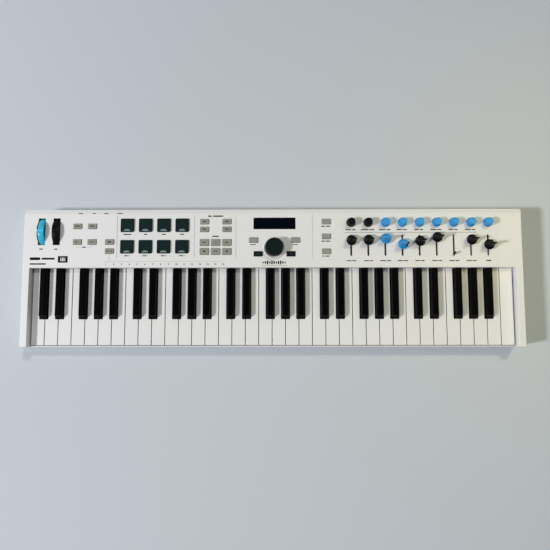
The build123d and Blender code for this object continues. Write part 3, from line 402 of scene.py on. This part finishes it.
# A rule under the centre mark.
lines.bar(3.7, 20.4, 43.0, 0.8)
# A bracket that joins the octave buttons.
for x in (-337.6, -319.6):
    lines.bar(x, OCTAVE_RULE, 8.6, 0.5)
for x in (-341.65, -315.55):
    lines.bar(x, 54.65, 0.5, 2.4)
# From the buttons beside the pads to the groove and down to the channel numbers.
lines.bar(-273.4, MODE_Y[0], 4.0, 0.6)
lines.bar(MODE_X, 34.9, 0.6, 12.2)
lines.bar(-187.6, 27.8, 208.8, 0.35)
# Between the knobs and the faders.
lines.bar(242.0, 78.3, 230.0, 1.1)
lines.done()

BADGE_KEY_PITCH = 2.3
badge = Print("badge_keys", "case", INK_PALE, "panel_plastic", CASE_TOP + INK)
for n in range(4):
    badge.bar(BADGE[0] + BADGE_KEY_PITCH * (n - 1.5), BADGE[1], 1.7, 6.2)
badge.done()
badge_sharps = Print("badge_sharps", "case", INK_DARK, "printed_ink", CASE_TOP + 2 * INK)
for n in (-1, 1):
    badge_sharps.bar(BADGE[0] + BADGE_KEY_PITCH * n, 33.1, 1.2, 3.6)
badge_sharps.done()

left = Print("left_button_icons", "left_buttons", INK_BUTTON, "printed_ink", BUTTON_TOP)
for x, width in ((-340.6, 8.8), (-314.8, 8.2)):
    left.pill(x, 90.3, width, 2.0)
for x in (-341.5, -315.7):
    left.pill(x, OCTAVE_Y, 4.2, 2.0)
left.bar(-337.7, OCTAVE_Y, 1.6, 0.5)
left.plus(-311.9, OCTAVE_Y, 1.6, 0.5)
left.pill(MODE_X, MODE_Y[0], 6.6, 2.8)
left.words(MODE_X, MODE_Y[1], 2.0, 5.0, 3.4)
left.done()

command = Print("command_button_icons", "command_buttons", INK_BUTTON, "printed_ink", BUTTON_TOP)
for y, widths in zip(COMMAND_Y, ((6.4, 7.4), (6.6, 8.0))):
    for x, width in zip((TRANSPORT_X[0], TRANSPORT_X[2]), widths):
        command.pill(x, y, width, 2.0)
command.done()

# Rewind, loop and forward over stop, play-pause and record.
transport = Print("transport_button_icons", "transport_buttons", INK_DARK, "printed_ink", BUTTON_TOP)
for middle, facing in ((TRANSPORT_X[0], -1), (TRANSPORT_X[2], 1)):
    transport.triangle(middle + 1.5, TRANSPORT_Y[0], 2.8, facing)
    transport.triangle(middle - 1.5, TRANSPORT_Y[0], 2.8, facing)
for start, end in ((20, 160), (200, 340)):
    transport.arc(TRANSPORT_X[1], TRANSPORT_Y[0], 1.9, 0.6, start, end)
transport.bar(TRANSPORT_X[0], TRANSPORT_Y[1], 3.0, 3.0)
transport.triangle(TRANSPORT_X[1] + 1.6, TRANSPORT_Y[1], 3.0)
for x in (-101.2, -99.7):
    transport.bar(x, TRANSPORT_Y[1], 0.8, 3.0)
transport.disc(TRANSPORT_X[2], TRANSPORT_Y[1], 1.7)
transport.done()

arrows = Print("arrow_button_icons", "arrow_buttons", INK_DIM, "printed_ink", BUTTON_TOP)
for x, facing in ((-24.5, -1), (33.3, 1)):
    arrows.triangle(x, 40.9, 2.6, facing)
arrows.done()

# A pale patch, shaped like half an ellipse, near the front edge of each pad.
MARK_REACH, MARK_RISE, MARK_STEPS = 5.6, 3.0, 14
pale_marks = Print("pad_pale_marks", "pads", PAD_PALE_MARK, "pad_window", PAD_TOP)
for x in PAD_X:
    for y in PAD_Y:
        edge = y - 10.5
        angles = [math.pi * n / MARK_STEPS for n in range(1, MARK_STEPS)]
        pale_marks.shape([(x - MARK_REACH, edge), (x + MARK_REACH, edge)] + [
            (x + MARK_REACH * math.cos(a), edge + 0.5 + MARK_RISE * math.sin(a)) for a in angles])
pale_marks.done()

# The lit area of the display, behind its window.
screen = Print("display_area", "case", DISPLAY, "window_glass", CASE_TOP)
screen.bar(4.3, 94.6, 64.2, 13.6)
screen.done()


# ---------------------------------------------------------------- pieces of two colours
def split_finish(name, material, keep):
    """Gives a second material to the faces of a node that pass a test on their centre and normal."""
    mesh = nodes[name].data
    mesh.materials.append(material)
    for face in mesh.polygons:
        if keep(face.center, face.normal):
            face.material_index = 1


# The cap of fader 4 has a black fin on a blue skirt, the pitch wheel a black left flank,
# and the sides of the white keys carry painted shade: a darker grey, standing in for the shade in the gaps
# between the keys.
LEVER_TOP = 0.0505
SKIRT_TOP = 0.0600
TIP_START = CONTROLS[3] * MM + 0.003
FLANK_END = -0.4070
KEY_SHADE_TOP = 0.0349
SIDEWAYS = 0.9
split_finish("fader_4", KNOB_BLUE, lambda c, n: c.z > LEVER_TOP and (c.z < SKIRT_TOP or c.x < TIP_START))
split_finish("pitch_wheel", KNOB_BLACK, lambda c, n: c.x < FLANK_END)
# Painted shade: the sideways faces of the white keys, below their tops, get the darker grey of the key gaps.
for name in NATURALS:
    split_finish(name, KEY_GAP_SHADE, lambda c, n: abs(n.x) > SIDEWAYS and c.z < KEY_SHADE_TOP)

# ---------------------------------------------------------------- floor, light and camera
FAR = 20.0               # metres from the middle of the floor to its edges
FLOOR = surface("floor_paper", colour(198, 204, 210), 0.9, drift=0.01, drift_scale=1.2, grain=300.0)
ground = bpy.data.meshes.new("floor")
ground.from_pydata([(-FAR, -FAR, 0), (FAR, -FAR, 0), (FAR, FAR, 0), (-FAR, FAR, 0)], [], [(0, 1, 2, 3)])
ground.materials.append(FLOOR)
floor = bpy.data.objects.new("floor", ground)
scene.collection.objects.link(floor)


def place_light(data, position, target, tint):
    """Puts a lamp in the scene, turned to its target."""
    data.color = tint
    lamp = bpy.data.objects.new(data.name, data)
    lamp.location = position
    lamp.rotation_euler = (Vector(target) - Vector(position)).to_track_quat("-Z", "Y").to_euler()
    lamp.visible_camera = False
    scene.collection.objects.link(lamp)


def area_light(name, position, target, size, power, tint, spread=180.0):
    """A round soft box; spread narrows its beam, in degrees."""
    data = bpy.data.lights.new(name, "AREA")
    data.shape = "DISK"
    data.size = size
    data.energy = power
    data.spread = math.radians(spread)
    place_light(data, position, target, tint)


def sun_light(name, position, spread, power, tint):
    """An even light over the whole floor; spread is its width in degrees."""
    data = bpy.data.lights.new(name, "SUN")
    data.angle = math.radians(spread)
    data.energy = power
    place_light(data, position, (0.0, 0.0, 0.0), tint)


# The main light stands at the left and casts the long shadows, a weak sun behind the case fills them,
# and a narrow warm lamp tints the right end.
area_light("left_light", position=(-3.0, -0.7, 2.9), target=(0.0, 0.0, 0.04), size=0.46, power=117.0,
           tint=(0.965, 0.966, 1.0))
sun_light("back_light", position=(0.7, 1.15, 2.3), spread=6.0, power=0.61, tint=(0.98, 1.0, 0.96))
area_light("right_light", position=(0.75, 0.3, 0.9), target=(0.5, 0.05, 0.04), size=0.4, power=0.28,
           tint=(1.0, 0.86, 0.03), spread=75.0)

world = bpy.data.worlds.new("studio")
world.use_nodes = True
background = world.node_tree.nodes["Background"]
background.inputs["Color"].default_value = (0.98, 0.985, 1.0, 1.0)
background.inputs["Strength"].default_value = 0.225
scene.world = world
scene.view_settings.view_transform = "Standard"

# The camera looks nearly straight down, from about a metre over the keys.
lens = bpy.data.cameras.new("camera")
lens.sensor_width = 36.0
lens.lens = 38.134
lens.clip_start = 0.01
camera = bpy.data.objects.new("camera", lens)
camera.location = (0.01238, -0.09951, 1.055)
camera.rotation_euler = (math.radians(5.868), math.radians(0.4224), math.radians(-0.0527))
scene.collection.objects.link(camera)
scene.camera = camera
